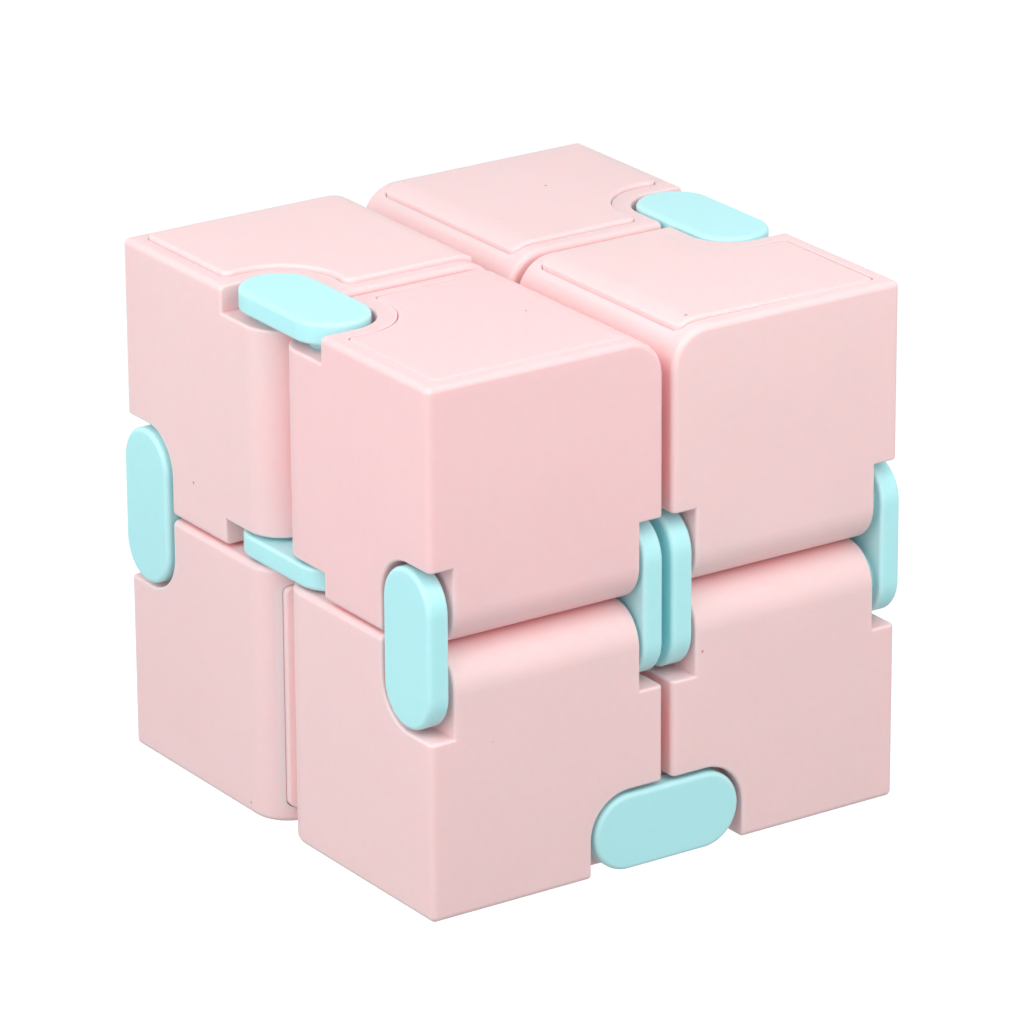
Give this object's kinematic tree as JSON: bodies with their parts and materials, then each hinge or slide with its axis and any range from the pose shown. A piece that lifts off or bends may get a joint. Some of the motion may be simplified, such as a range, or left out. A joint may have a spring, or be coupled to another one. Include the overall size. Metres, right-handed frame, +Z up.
{
  "type": "folding fidget cube",
  "caption": "Pocket cube of hollow plastic cubelets, lidded and joined in a ring by double-pin link plates, that folds endlessly in the hand.",
  "frame": {"origin": "centre of the closed cube's underside, where it stands on a desk", "axes": "+X to the right across the front, +Y to the back, +Z up"},
  "size_m": [0.0406, 0.04, 0.0399],
  "materials": {
    "cubelet_plastic": "pale pink ABS, semi-matte moulded surface",
    "link_plastic": "mint ABS, soft gloss"
  },
  "bodies": {
    "front_left_upper": {"cubelet_front_left_upper": "cubelet_plastic", "lid_front_left_upper": "cubelet_plastic", "left_upper_link_front_pins": "link_plastic"},
    "front_left_lower": {"cubelet_front_left_lower": "cubelet_plastic", "lid_front_left_lower": "cubelet_plastic"},
    "front_right_upper": {"cubelet_front_right_upper": "cubelet_plastic", "lid_front_right_upper": "cubelet_plastic"},
    "front_right_lower": {"cubelet_front_right_lower": "cubelet_plastic", "lid_front_right_lower": "cubelet_plastic"},
    "back_left_upper": {"cubelet_back_left_upper": "cubelet_plastic", "lid_back_left_upper": "cubelet_plastic"},
    "back_left_lower": {"cubelet_back_left_lower": "cubelet_plastic", "lid_back_left_lower": "cubelet_plastic"},
    "back_right_upper": {"cubelet_back_right_upper": "cubelet_plastic", "lid_back_right_upper": "cubelet_plastic"},
    "back_right_lower": {"cubelet_back_right_lower": "cubelet_plastic", "lid_back_right_lower": "cubelet_plastic"},
    "left_upper_link": {"left_upper_link_top": "link_plastic", "left_upper_link_bottom": "link_plastic"},
    "right_upper_link": {"right_upper_link_top": "link_plastic", "right_upper_link_bottom": "link_plastic"},
    "front_left_link": {"front_left_link_outer": "link_plastic", "front_left_link_inner": "link_plastic"},
    "front_right_link": {"front_right_link_outer": "link_plastic", "front_right_link_inner": "link_plastic"},
    "back_left_link": {"back_left_link_outer": "link_plastic", "back_left_link_inner": "link_plastic"},
    "back_right_link": {"back_right_link_outer": "link_plastic", "back_right_link_inner": "link_plastic"},
    "front_base_link": {"front_base_link_outer": "link_plastic", "front_base_link_inner": "link_plastic"},
    "back_base_link": {"back_base_link_outer": "link_plastic", "back_base_link_inner": "link_plastic"}
  },
  "joints": [
    {"name": "book_fold", "type": "hinge", "parent": "front_right_lower", "child": "front_base_link", "pos_m": [0.0033, 0, 0.0029], "axis": [0, -1, 0], "range_deg": [0, 90]},
    {"name": "book_fold_front_left_pin", "type": "hinge", "parent": "front_base_link", "child": "front_left_lower", "pos_m": [-0.0033, 0, 0.0029], "axis": [0, -1, 0], "range_deg": [0, 90]},
    {"name": "book_fold_back_right_pin", "type": "hinge", "parent": "back_right_lower", "child": "back_base_link", "pos_m": [0.0033, 0, 0.0029], "axis": [0, -1, 0], "range_deg": [0, 90]},
    {"name": "book_fold_back_left_pin", "type": "hinge", "parent": "back_base_link", "child": "back_left_lower", "pos_m": [-0.0033, 0, 0.0029], "axis": [0, -1, 0], "range_deg": [0, 90]},
    {"name": "front_fold", "type": "hinge", "parent": "front_right_lower", "child": "front_right_link", "pos_m": [0, -0.0171, 0.0167], "axis": [1, 0, 0], "range_deg": [0, 90]},
    {"name": "front_fold_right_upper_pin", "type": "hinge", "parent": "front_right_link", "child": "front_right_upper", "pos_m": [0, -0.0171, 0.0228], "axis": [1, 0, 0], "range_deg": [0, 90]},
    {"name": "front_fold_left_lower_pin", "type": "hinge", "parent": "front_left_lower", "child": "front_left_link", "pos_m": [0, -0.0171, 0.0167], "axis": [1, 0, 0], "range_deg": [0, 90]},
    {"name": "front_fold_left_upper_pin", "type": "hinge", "parent": "front_left_link", "child": "front_left_upper", "pos_m": [0, -0.0171, 0.0228], "axis": [1, 0, 0], "range_deg": [0, 90]},
    {"name": "back_fold", "type": "hinge", "parent": "back_right_upper", "child": "back_right_link", "pos_m": [0, 0.0171, 0.0228], "axis": [1, 0, 0], "range_deg": [0, 90]},
    {"name": "back_fold_right_lower_pin", "type": "hinge", "parent": "back_right_link", "child": "back_right_lower", "pos_m": [0, 0.0171, 0.0167], "axis": [1, 0, 0], "range_deg": [0, 90]},
    {"name": "back_fold_left_lower_pin", "type": "hinge", "parent": "back_left_lower", "child": "back_left_link", "pos_m": [0, 0.0171, 0.0167], "axis": [-1, 0, 0], "range_deg": [0, 90]},
    {"name": "back_fold_left_upper_pin", "type": "hinge", "parent": "back_left_link", "child": "back_left_upper", "pos_m": [0, 0.0171, 0.0228], "axis": [-1, 0, 0], "range_deg": [0, 90]},
    {"name": "column_fold", "type": "hinge", "parent": "front_right_upper", "child": "right_upper_link", "pos_m": [0.0171, -0.0033, 0], "axis": [0, 0, -1], "range_deg": [0, 90]},
    {"name": "column_fold_right_back_pin", "type": "hinge", "parent": "right_upper_link", "child": "back_right_upper", "pos_m": [0.0171, 0.0033, 0], "axis": [0, 0, -1], "range_deg": [0, 90]},
    {"name": "column_fold_left_back_pin", "type": "hinge", "parent": "back_left_upper", "child": "left_upper_link", "pos_m": [-0.0171, 0.0033, 0], "axis": [0, 0, -1], "range_deg": [0, 90]}
  ],
  "couplings": [
    {"joint": "book_fold_front_left_pin", "follows": "book_fold", "ratio": 1},
    {"joint": "book_fold_back_right_pin", "follows": "book_fold", "ratio": 1},
    {"joint": "book_fold_back_left_pin", "follows": "book_fold", "ratio": 1},
    {"joint": "front_fold_right_upper_pin", "follows": "front_fold", "ratio": 1},
    {"joint": "front_fold_left_lower_pin", "follows": "front_fold", "ratio": 1},
    {"joint": "front_fold_left_upper_pin", "follows": "front_fold", "ratio": 1},
    {"joint": "back_fold_right_lower_pin", "follows": "back_fold", "ratio": 1},
    {"joint": "back_fold_left_lower_pin", "follows": "back_fold", "ratio": 1},
    {"joint": "back_fold_left_upper_pin", "follows": "back_fold", "ratio": 1},
    {"joint": "column_fold_right_back_pin", "follows": "column_fold", "ratio": 1},
    {"joint": "column_fold_left_back_pin", "follows": "column_fold", "ratio": 1}
  ]
}
